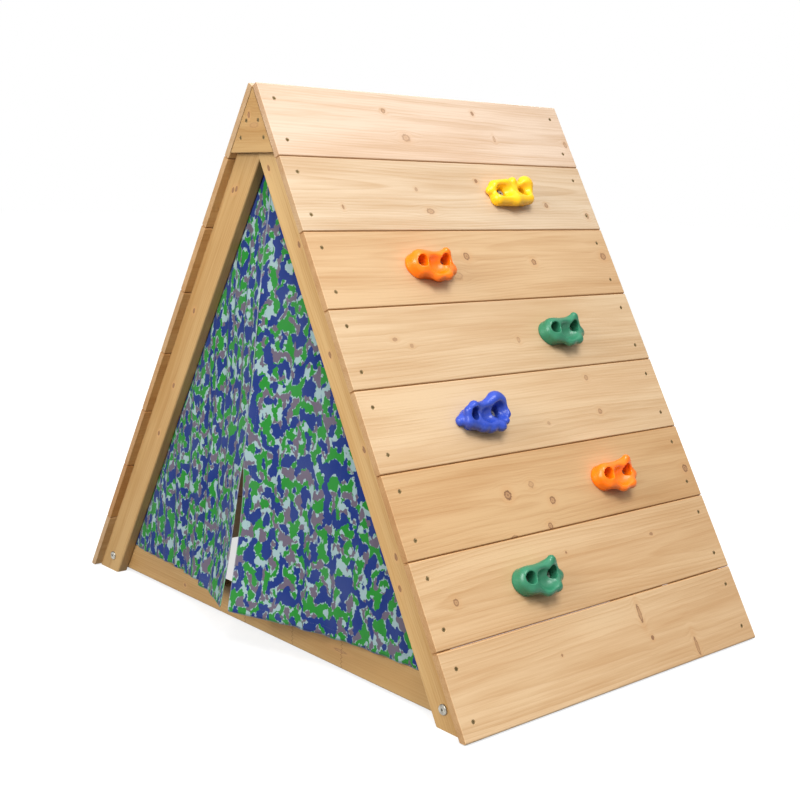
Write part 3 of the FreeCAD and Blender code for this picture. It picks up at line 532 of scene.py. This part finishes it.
def hold_mesh(name, rows, turn):
    """One hold's surface, in millimetres about its middle on the wall's outer face."""
    low, high = np.float32((-72, -46, -4)), np.float32((72, 46, 50))
    sides = [np.arange(a, b, STEP, dtype=np.float32) for a, b in zip(low, high)]
    grid = np.stack(np.meshgrid(*sides, indexing="ij"), -1).reshape(-1, 3)
    c, s = math.cos(math.radians(turn)), math.sin(math.radians(turn))
    turned = grid.copy()
    turned[:, 0] = grid[:, 0] * c + grid[:, 1] * s
    turned[:, 1] = grid[:, 1] * c - grid[:, 0] * s
    field = None
    for kind, action, soft, *sizes in rows:
        part = SHAPES[kind](turned, *sizes)
        if field is None:
            field = part
        else:
            field = (join if action == "join" else carve)(field, part, soft)
    for way in (-1, 1):
        centre = way * BOLT_SPREAD
        socket = bar(grid, (centre, 0, SOCKET_FLOOR + SOCKET), (centre, 0, 90), SOCKET, SOCKET)
        from_axis = reach(grid[:, :2] - np.float32((centre, 0)))
        flat = np.maximum(from_axis - SOCKET, SOCKET_FLOOR - grid[:, 2])
        field = carve(field, np.minimum(socket, flat), 2.0)
    field = np.maximum(field, -grid[:, 2])
    volume = openvdb.FloatGrid(50.0)
    volume.copyFromArray(np.ascontiguousarray(field.reshape([len(side) for side in sides]), np.float32))
    points, quads = volume.convertToQuads(0.0)
    mesh = bpy.data.meshes.new(name)
    mesh.from_pydata((points * STEP + low).tolist(), [], quads.tolist())
    mesh.validate()
    for polygon in mesh.polygons:
        polygon.use_smooth = True
    return mesh


def make_hold(node, board, column, rows, turn, tone):
    """A hold in place of its CAD node, on the same bolts."""
    mesh = hold_mesh(f"{node}_shape", rows, turn)
    hold = bpy.data.objects.new(f"{node}_moulded", mesh)
    bpy.context.scene.collection.objects.link(hold)
    middle = on_wall(CLIMBING, (board - 0.5) * BOARD_PITCH, column * HOLD_ACROSS, BOARD_THICK)
    axes = Matrix(((0, -COS, SIN), (1, 0, 0), (0, SIN, COS))).to_4x4()
    mesh.transform(Matrix.Translation(middle) @ axes @ Matrix.Scale(0.001, 4))
    mesh.materials.append(plastic(f"{node}_plastic", tone))
    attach(hold, "frame")
    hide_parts(node)


for row in HOLDS:
    make_hold(*row)


# ---- curtains ----

THREAD = 0.0011          # one thread of the weave over and under
STITCH, STITCH_IN = 0.0046, 0.0165       # stitch length, and the stitch line's distance in from the edge


def camouflage(name):
    """Printed polyester: ragged blobs in four colours over a plain weave, with a stitched hem."""
    g = Graph(name)
    cut = g.node("ShaderNodeAttribute", attribute_name="cut").outputs["Vector"]

    pale, blue = colour(134, 157, 158), colour(20, 42, 104)
    green, mauve = colour(30, 116, 38), colour(90, 80, 94)
    ink = pale
    for tint, offset, wide, tall, ragged, threshold in (
            (green, (0.3, 1.7, 0.0), 0.0190, 0.0265, 0.0041, 0.428),
            (mauve, (4.1, 0.2, 0.0), 0.0175, 0.0250, 0.0040, 0.558),
            (blue, (7.7, 5.3, 0.0), 0.0175, 0.0270, 0.0043, 0.537)):
        # a blob is slow noise read at the points of a fine cell pattern; bare cloth shows beside it
        moved = g.vector("ADD", cut, offset)
        cells = g.node("ShaderNodeTexVoronoi", feature="F1")
        cells.inputs["Scale"].default_value = 1.0
        g.link(g.scaled(moved, (1 / ragged, 0.8 / ragged, 0.0)), cells.inputs["Vector"])
        corners = g.scaled(cells.outputs["Position"], (ragged, ragged / 0.8, 1.0))
        rough = g.mix(0.71, moved, corners)
        blob = g.noise(g.scaled(rough, (1 / wide, 1 / tall, 0.0)), 1.0, 0.6, 0.45, 0.35)
        ink = g.mix(g.span(blob, threshold - 0.018, threshold - 0.011), ink, pale)
        ink = g.mix(g.span(blob, threshold - 0.006, threshold + 0.006), ink, tint)

    # plain weave, a little heathering, and the stitch lines beside the hems
    x, z, hem = g.parts(cut)
    warp = g.math("SINE", g.math("MULTIPLY", x, 2 * math.pi / THREAD))
    weft = g.math("SINE", g.math("MULTIPLY", z, 2 * math.pi / THREAD))
    weave = g.math("MULTIPLY", warp, weft)
    fuzz = g.noise(g.scaled(cut, (700.0, 700.0, 0.0)), 1.0, 2.0)
    faded = g.noise(g.scaled(cut, (9.0, 9.0, 0.0)), 1.0, 2.0)
    ink = g.mix(g.span(fuzz, 0.3, 0.7, 0.0, 0.10), ink, g.mix(1.0, ink, (0.55, 0.56, 0.6, 1.0), "MULTIPLY"))
    ink = g.mix(g.span(faded, 0.4, 0.75, 0.0, 0.05), ink, colour(170, 176, 186))
    dash = g.math("SINE", g.math("MULTIPLY", g.math("ADD", x, z), 2 * math.pi / STITCH))
    from_stitch = g.math("ABSOLUTE", g.math("SUBTRACT", hem, STITCH_IN))
    seam = g.math("MULTIPLY", g.span(from_stitch, 0.0003, 0.0007, 1.0, 0.0), g.span(dash, -0.3, 0.1))
    ink = g.mix(g.math("MULTIPLY", seam, 0.4), ink, colour(74, 86, 104))
    # painted highlight: a pale band along the free edge and hem, where the turned edge catches light
    ink = g.mix(g.span(hem, 0.0006, 0.0022, 0.28, 0.0), ink, colour(196, 204, 210))
    height = g.math("SUBTRACT", g.math("MULTIPLY", weave, 0.25), g.math("MULTIPLY", seam, 1.2))
    g.set(Base_Color=ink, Roughness=g.span(fuzz, 0.2, 0.8, 0.72, 0.86), Normal=g.bump(height, 0.0002, 0.45),
          Sheen_Weight=0.04, Sheen_Roughness=0.5, Specular_IOR_Level=0.12)
    return g.material


SEAM = {CLIMBING: 0.0155, PLAIN: -0.0125}    # free edge of each closed curtain, from the middle
CURTAIN_APEX = APEX - HINGE_DEPTH / COS       # where the two swing lines meet
ROW = 0.0106             # lattice rows, about this far apart
TUCKED = 4               # columns behind the post
HEM_ROWS, EDGE_COLUMNS = 2, 3                 # turned-over hems
cloth_print = camouflage("curtain_print")


def curtain_lattice(side):
    """Flat lattice of one curtain, cut to the closed shape.

    Columns count from the free edge. A row's last free column lies on the swing line, and the ones
    after it are tucked behind the post. Gives the places (column, row, columns in the row), their
    flat points and the faces.
    """
    edge = SEAM[side]
    top = CURTAIN_APEX - edge * SIN / COS
    rows = round((top - HEM) / ROW)
    rise = (top - HEM) / rows
    run = rise * COS / SIN
    index, places, flat, faces = {}, [], [], []
    for row in range(rows):
        z = HEM + row * rise
        reach_here = (CURTAIN_APEX - z) * COS / SIN       # swing line from the middle at this height
        if reach_here < 0.003:
            break
        count = rows - row
        left = max(edge, -reach_here)
        for column in range(count + TUCKED + 1):
            x = left + (reach_here - left) * min(column, count) / count
            if column > count:
                x += (column - count - 0.5) * run
            index[column, row] = len(places)
            places.append((column, row, count))
            flat.append((x, z))
    for column, row, count in places:
        corner = [(column, row), (column + 1, row), (column + 1, row + 1), (column, row + 1)]
        known = [index[c] for c in corner if c in index]
        if len(known) == 4 or len(known) == 3 and (column + 1, row + 1) not in index:
            faces.append(known)
    return places, flat, faces


def make_curtain(side, end, seed):
    """A cloth flap: cut flat, hung from behind its post, simulated and hemmed, and swung a little open."""
    label = f"{END_NAMES[end]}_curtain_{SIDE_NAMES[side]}"
    hinge = on_wall(side, 0.0, end * HINGE_ALONG, -HINGE_DEPTH)
    axis = on_wall(side, 1.0, 0, 0) - on_wall(side, 0.0, 0, 0)
    axis.normalize()
    outward = 1 if (Matrix.Rotation(0.1, 3, axis) @ Vector((-side, 0, 0))).y * end > 0 else -1
    places, flat, faces = curtain_lattice(side)
    crowding = 1.2 if side == PLAIN else 1.0       # gathers draw the plain flap's print together
    points, cut = [], []
    for (column, row, count), (x, z) in zip(places, flat):
        point = Vector((side * x, end * HINGE_ALONG, z))
        if column <= count:
            point = hinge + Matrix.Rotation(outward * AJAR, 3, axis) @ (point - hinge)
        else:
            point.y = end * (POST_BACK - 0.0009)
        points.append(point)
        cut.append((-end * side * x * crowding + 3.1 * seed, z, min(x - SEAM[side], z - HEM)))
    mesh = bpy.data.meshes.new(label)
    mesh.from_pydata(points, [], faces)
    store = mesh.attributes.new("cut", "FLOAT_VECTOR", "POINT")
    store.data.foreach_set("vector", np.array(cut, np.float32).ravel())
    cloth = bpy.data.objects.new(f"{label}_cloth", mesh)
    bpy.context.scene.collection.objects.link(cloth)

    pins = cloth.vertex_groups.new(name="pins")
    thick = cloth.vertex_groups.new(name="thick")
    for spot, (column, row, count) in enumerate(places):
        if column >= count:
            pins.add([spot], 1.0, "REPLACE")
        hemmed = row <= HEM_ROWS or column <= EDGE_COLUMNS
        thick.add([spot], 1.0 if hemmed else 0.5, "REPLACE")
    drape(cloth, side, end, axis, outward)
    true_up(cloth, places, points)
    shape(cloth, places, flat, side, end, seed)

    subdivision = cloth.modifiers.new("smooth", "SUBSURF")
    subdivision.levels = subdivision.render_levels = 1
    skin = cloth.modifiers.new("skin", "SOLIDIFY")
    skin.thickness, skin.offset = 0.0014, 0.0
    skin.vertex_group, skin.thickness_vertex_group = "thick", 0.0
    cloth.data.materials.append(cloth_print)
    apply_modifiers(cloth)
    for polygon in cloth.data.polygons:
        polygon.use_smooth = True
    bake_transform(cloth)
    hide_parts(label, f"{label}_margin")


def apply_modifiers(target):
    """Turns an object's evaluated mesh into its own."""
    bpy.context.view_layer.update()
    evaluated = target.evaluated_get(bpy.context.evaluated_depsgraph_get())
    final = bpy.data.meshes.new_from_object(evaluated, preserve_all_data_layers=True,
                                            depsgraph=bpy.context.evaluated_depsgraph_get())
    target.modifiers.clear()
    target.data = final


def drape(cloth, side, end, axis, outward):
    """Hangs the cloth under a pull that leans out with the open flap."""
    scene = bpy.context.scene
    scene.gravity = (Matrix.Rotation(outward * AJAR, 3, axis) @ Vector((0, 0, -9.81)))[:]
    sim = cloth.modifiers.new("drape", "CLOTH")
    settings = sim.settings
    settings.quality = 5
    settings.mass = 0.25
    settings.tension_stiffness = settings.compression_stiffness = 18
    settings.shear_stiffness = 6
    settings.bending_stiffness = 0.6
    settings.vertex_group_mass = "pins"
    settings.shrink_min = settings.shrink_max = -0.005 if side == CLIMBING else -0.012
    sim.collision_settings.use_collision = False
    sim.collision_settings.use_self_collision = False
    scene.frame_start, scene.frame_end = 1, 30
    for step in range(1, 31):
        scene.frame_set(step)
    apply_modifiers(cloth)
    scene.frame_set(1)


def true_up(cloth, places, points):
    """Puts the draped cloth's free edge back on its line, and carries the rest along in proportion."""
    co = np.empty(len(points) * 3)
    cloth.data.vertices.foreach_get("co", co)
    co = co.reshape(-1, 3)
    column, row, count = np.array(places, float).T
    drift = np.array(points, float) - co
    edge_drift = {int(r): drift[i] for i, (c, r) in enumerate(zip(column, row)) if c == 0}
    carried = np.array([edge_drift[int(r)] for r in row])
    co += carried * np.clip(1 - column / count, 0, 1)[:, None]
    cloth.data.vertices.foreach_set("co", co.ravel())


def shape(cloth, places, flat, side, end, seed):
    """Shaping after the drape: bowed flaps, soft folds, and free edges that lap but for the slit."""
    mesh = cloth.data
    co = np.empty(len(mesh.vertices) * 3)
    mesh.vertices.foreach_get("co", co)
    co = co.reshape(-1, 3)
    column, row, count = np.array(places, float).T
    across, height = np.array(flat, float).T
    share = np.clip(column / count, 0, 1)             # 0 at the free edge, 1 at the swing line
    width = np.maximum(CURTAIN_APEX - height, 0.01) * COS / SIN
    rise = height - HEM
    belly = np.sin(np.pi * share)
    if side == CLIMBING:
        bow = 0.016 * belly * np.exp(-rise / 0.16)
        folds = 0.0016 * np.sin(across * 58 + 2.0 * np.sin(height * 6 + seed) + seed)
    else:
        bow = 0.018 * np.sin(np.pi * np.clip(share * 1.15, 0, 1)) * width / 0.44
        folds = 0.0022 * np.sin(across * 96 + 1.6 * np.sin(height * 7 + seed) + seed)
        folds += 0.0012 * np.sin(across * 171 - 2.3 * np.sin(height * 5 + seed))
    wave = 0.0018 * np.sin(height * 21 + seed) * np.sin(np.pi * np.clip(share * 1.2 + 0.25, 0, 1))
    folds *= belly ** 1.5 * np.clip(width / 0.15, 0, 1) * np.clip(0.35 + rise / 0.2, 0, 1)
    flare = (0.015 if side == CLIMBING else 0.009) * np.clip(1 - share * 1.6, 0, 1) ** 2
    flare *= np.clip(1 - rise / 0.26, 0, 1) ** 1.5
    near_seam = np.clip(1 - (across - SEAM[side]) / 0.07, 0, 1) ** 2 * np.clip(width / 0.03, 0, 1)
    lap = np.interp(height, [0.068, 0.19, 0.30, 0.36, 0.50, 0.70, 0.86],
                    [-0.0035, -0.0005, 0.0040, 0.0075, 0.0065, 0.0048, 0.0030])
    front = 0.0022 * np.clip((height - 0.28) / 0.06, 0, 1) * (1 if side == CLIMBING else -1)
    co[:, 0] -= side * lap * near_seam
    co[:, 1] += end * (wave + folds + flare - bow + front * near_seam)
    mesh.vertices.foreach_set("co", co.ravel())
    mesh.update()


for seed, (end, side) in enumerate(((FRONT, CLIMBING), (FRONT, PLAIN), (BACK, CLIMBING), (BACK, PLAIN))):
    make_curtain(side, end, seed)


# ---- floor, light and camera ----

LAMPS = [                # name, place, size, watts
    ("key", (2.0, -1.1, 3.1), 1.4, 91.0),
    ("fill", (0.4, -3.3, 1.6), 1.5, 102.0),
    ("back", (-2.3, 2.7, 2.3), 1.6, 85.0)]
SKY_FALL = (-0.15, 0.9, 0.07, 1.15)      # from and to height, from and to strength
CAMERA_PLACE = (1.8105, -1.7256, 0.8350)
YAW, PITCH, ROLL = 0.88566, 0.14561, 0.02243
SENSOR, LENS = 36.0, 56.452
SHIFT_X, SHIFT_Y = 0.11, -0.035


def studio():
    """Pale floor, even white surroundings and three soft boxes."""
    g = Graph("studio_floor")
    speckle = g.noise(g.object_point(), 40.0, 3.0)
    g.set(Base_Color=g.mix(g.span(speckle, 0.3, 0.7), colour(156, 156, 155), colour(150, 150, 149)),
          Roughness=0.8, Specular_IOR_Level=0.0, Emission_Color=(1.0, 1.0, 1.0, 1.0), Emission_Strength=0.72)
    mesh = bpy.data.meshes.new("floor")
    half = 30.0
    corners = [(-half, -half, 0), (half, -half, 0), (half, half, 0), (-half, half, 0)]
    mesh.from_pydata(corners, [], [(0, 1, 2, 3)])
    floor = bpy.data.objects.new("floor", mesh)
    floor.data.materials.append(g.material)
    bpy.context.scene.collection.objects.link(floor)
    floor.visible_diffuse = False

    # white to the eye; as a light, brighter overhead than from below
    world = bpy.data.worlds.new("studio")
    world.use_nodes = True
    tree = world.node_tree
    background = tree.nodes["Background"]
    background.inputs["Color"].default_value = (1.0, 1.0, 1.0, 1.0)
    place = tree.nodes.new("ShaderNodeTexCoord")
    split = tree.nodes.new("ShaderNodeSeparateXYZ")
    tree.links.new(place.outputs["Generated"], split.inputs[0])
    falling = tree.nodes.new("ShaderNodeMapRange")
    for socket, value in zip(list(falling.inputs)[1:5], SKY_FALL):
        socket.default_value = value
    tree.links.new(split.outputs[2], falling.inputs[0])
    seen = tree.nodes.new("ShaderNodeLightPath")
    chosen = tree.nodes.new("ShaderNodeMix")
    tree.links.new(seen.outputs["Is Camera Ray"], chosen.inputs[0])
    tree.links.new(falling.outputs[0], chosen.inputs[2])
    chosen.inputs[3].default_value = 1.0
    tree.links.new(chosen.outputs[0], background.inputs["Strength"])
    bpy.context.scene.world = world
    for name, place, size, power in LAMPS:
        lamp = bpy.data.lights.new(name, "AREA")
        lamp.size, lamp.energy = size, power
        holder = bpy.data.objects.new(name, lamp)
        holder.location = place
        holder.rotation_euler = (Vector((0, 0, 0.5)) - Vector(place)).to_track_quat("-Z", "Y").to_euler()
        bpy.context.scene.collection.objects.link(holder)


def camera():
    """Looks at the den from its front end and climbing wall."""
    ahead = Vector((-math.sin(YAW) * math.cos(PITCH), math.cos(YAW) * math.cos(PITCH), -math.sin(PITCH)))
    right = Vector((math.cos(YAW), math.sin(YAW), 0))
    up = right.cross(ahead)
    right, up = right * math.cos(ROLL) + up * math.sin(ROLL), up * math.cos(ROLL) - right * math.sin(ROLL)
    data = bpy.data.cameras.new("camera")
    data.sensor_width, data.lens = SENSOR, LENS
    data.shift_x, data.shift_y = SHIFT_X, SHIFT_Y
    holder = bpy.data.objects.new("camera", data)
    turn = Matrix((right, up, -ahead)).transposed().to_4x4()
    holder.matrix_world = Matrix.Translation(CAMERA_PLACE) @ turn
    bpy.context.scene.collection.objects.link(holder)
    bpy.context.scene.camera = holder


studio()
camera()
bpy.context.scene.view_settings.view_transform = "Standard"
